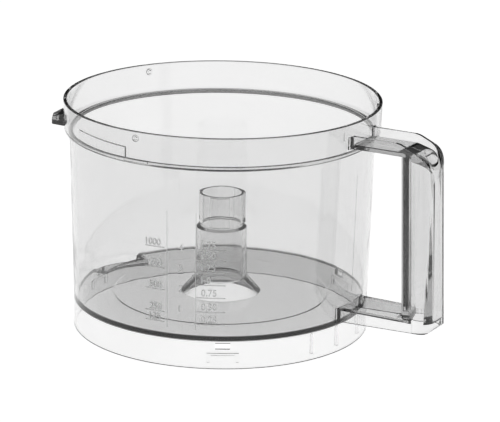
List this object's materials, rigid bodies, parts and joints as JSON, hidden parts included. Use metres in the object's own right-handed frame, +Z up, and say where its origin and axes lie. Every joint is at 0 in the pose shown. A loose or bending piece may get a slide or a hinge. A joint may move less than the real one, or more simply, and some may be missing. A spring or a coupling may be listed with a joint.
{
  "type": "food processor bowl",
  "caption": "Clear round food processor bowl with a lid collar, a centre drive column, a base skirt and a hollow side handle.",
  "frame": {"origin": "middle of the whole footprint at the underside of the skirt", "axes": "+X towards the handle, +Z up along the bowl's axis, which stands at x = -0.0239 m"},
  "size_m": [0.2248, 0.1774, 0.13],
  "materials": {
    "clear_body": "clear, polished, water-white",
    "clear_handle": "clear, polished",
    "clear_column": "clear, polished, seen through two walls"
  },
  "bodies": {
    "root": {"align_mark": "clear_body", "base_lock_1": "clear_body", "base_lock_2": "clear_body", "base_lock_3": "clear_body", "base_skirt": "clear_body", "bowl_wall": "clear_body", "column_flare": "clear_column", "column_tube": "clear_column", "floor_plate": "clear_body", "guide_land_1": "clear_column", "guide_land_2": "clear_column", "guide_land_3": "clear_column", "guide_tube": "clear_column", "handle_grip": "clear_handle", "handle_lower_arm": "clear_handle", "handle_upper_channel": "clear_handle", "lid_lock_lug": "clear_body", "lid_pip_1": "clear_body", "lid_pip_2": "clear_body", "lid_pip_3": "clear_body", "lid_ramp": "clear_body", "lid_ramp_stop": "clear_body", "rim_collar": "clear_body", "skirt_rib_1": "clear_body", "skirt_rib_2": "clear_body", "skirt_rib_3": "clear_body"}
  },
  "joints": []
}
